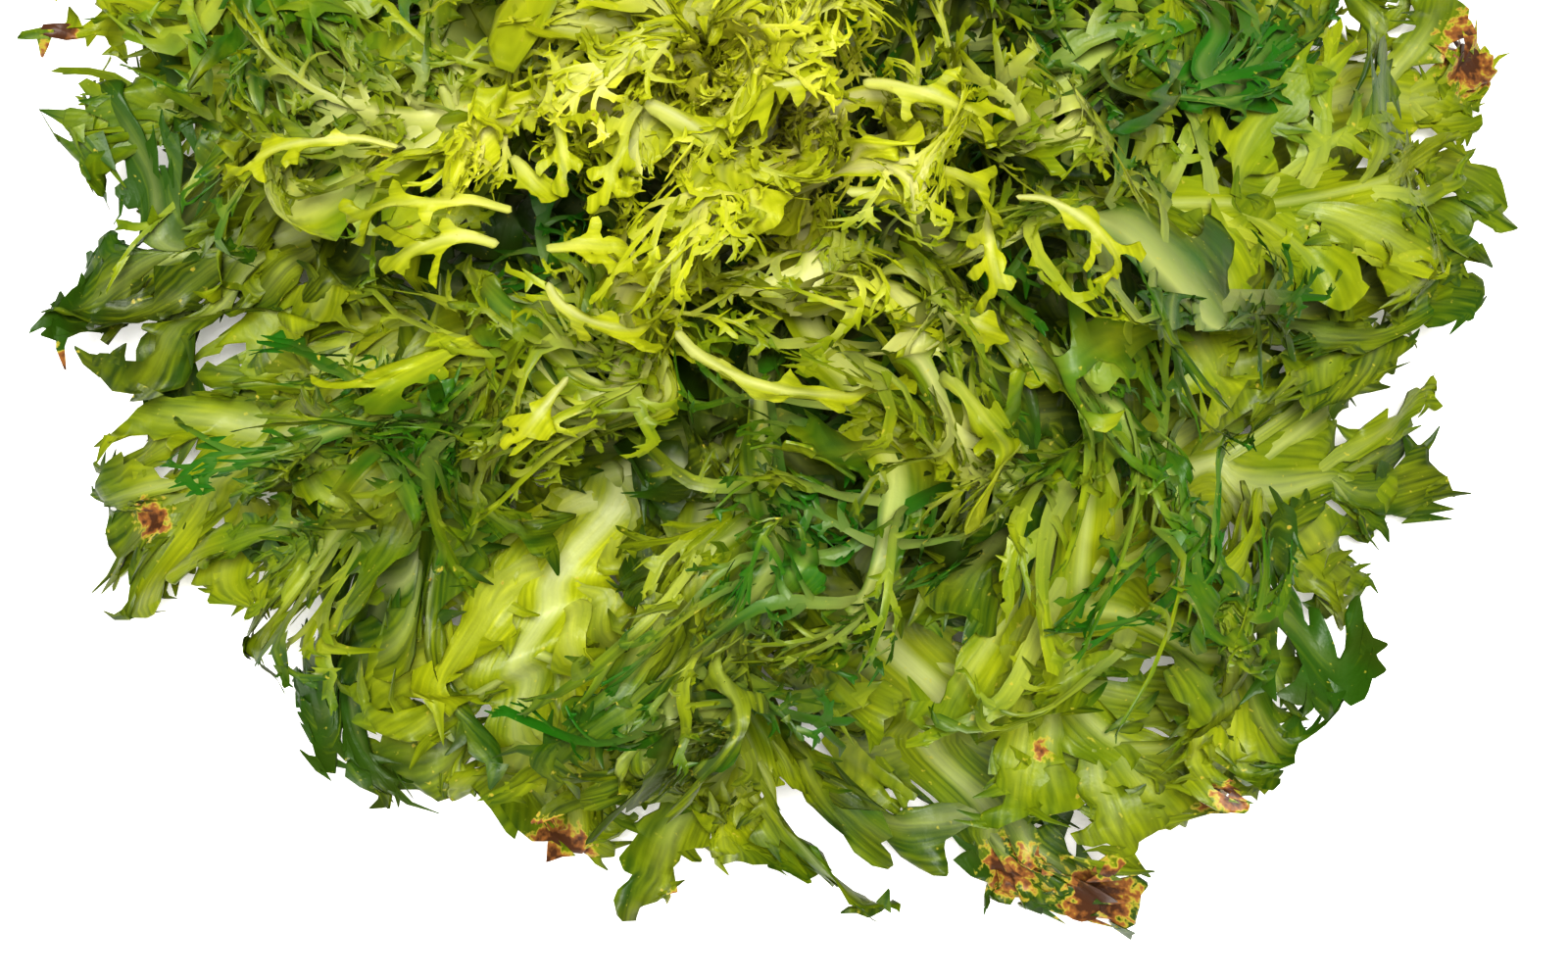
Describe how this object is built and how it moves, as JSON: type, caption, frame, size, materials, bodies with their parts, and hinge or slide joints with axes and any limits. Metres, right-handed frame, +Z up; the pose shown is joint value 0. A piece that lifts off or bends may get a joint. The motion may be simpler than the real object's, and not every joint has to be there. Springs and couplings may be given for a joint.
{
  "type": "head of frisee",
  "caption": "Whole head of frisee: forked, jagged green leaves in tiers round a short cut stem, paler towards a small yellow heart, standing on the cut face.",
  "frame": {"origin": "centre of the cut face of the stem, on the surface that the head stands on", "axes": "+Z up along the stem towards the heart; -Y towards the viewer of the picture, +X to that viewer's right"},
  "size_m": [0.3757, 0.3822, 0.1419],
  "materials": {
    "cut_stem": "pale cut plant stem, matte and slightly moist",
    "table_leaf": "fresh leaf, satin, with a paler rib",
    "outer_leaf": "fresh leaf, satin, with a paler rib",
    "green_leaf": "fresh leaf, satin, with a paler rib",
    "middle_leaf": "fresh leaf, satin, with a paler rib",
    "pale_leaf": "fresh leaf, satin, with a paler rib",
    "yellow_leaf": "fresh leaf, satin, with a paler rib",
    "inner_leaf": "fresh leaf, satin, with a paler rib",
    "heart": "blanched young leaf, satin"
  },
  "bodies": {
    "root": {"cut_stem": "cut_stem", "table_leaf_1": "table_leaf", "table_leaf_2": "table_leaf", "table_leaf_3": "table_leaf", "table_leaf_4": "table_leaf", "table_leaf_5": "table_leaf", "table_leaf_6": "table_leaf", "table_leaf_7": "table_leaf", "table_leaf_8": "table_leaf", "table_leaf_9": "table_leaf", "outer_leaf_1": "outer_leaf", "outer_leaf_2": "outer_leaf", "outer_leaf_3": "outer_leaf", "outer_leaf_4": "outer_leaf", "outer_leaf_5": "outer_leaf", "outer_leaf_6": "outer_leaf", "outer_leaf_7": "outer_leaf", "outer_leaf_8": "outer_leaf", "outer_leaf_9": "outer_leaf", "green_leaf_1": "green_leaf", "green_leaf_2": "green_leaf", "green_leaf_3": "green_leaf", "green_leaf_4": "green_leaf", "green_leaf_5": "green_leaf", "green_leaf_6": "green_leaf", "green_leaf_7": "green_leaf", "green_leaf_8": "green_leaf", "middle_leaf_1": "middle_leaf", "middle_leaf_2": "middle_leaf", "middle_leaf_3": "middle_leaf", "middle_leaf_4": "middle_leaf", "middle_leaf_5": "middle_leaf", "middle_leaf_6": "middle_leaf", "middle_leaf_7": "middle_leaf", "pale_leaf_1": "pale_leaf", "pale_leaf_2": "pale_leaf", "pale_leaf_3": "pale_leaf", "pale_leaf_4": "pale_leaf", "pale_leaf_5": "pale_leaf", "pale_leaf_6": "pale_leaf", "pale_leaf_7": "pale_leaf", "yellow_leaf_1": "yellow_leaf", "yellow_leaf_2": "yellow_leaf", "yellow_leaf_3": "yellow_leaf", "yellow_leaf_4": "yellow_leaf", "yellow_leaf_5": "yellow_leaf", "yellow_leaf_6": "yellow_leaf", "inner_leaf_1": "inner_leaf", "inner_leaf_2": "inner_leaf", "inner_leaf_3": "inner_leaf", "inner_leaf_4": "inner_leaf", "inner_leaf_5": "inner_leaf", "inner_leaf_6": "inner_leaf", "heart": "heart"}
  },
  "joints": []
}
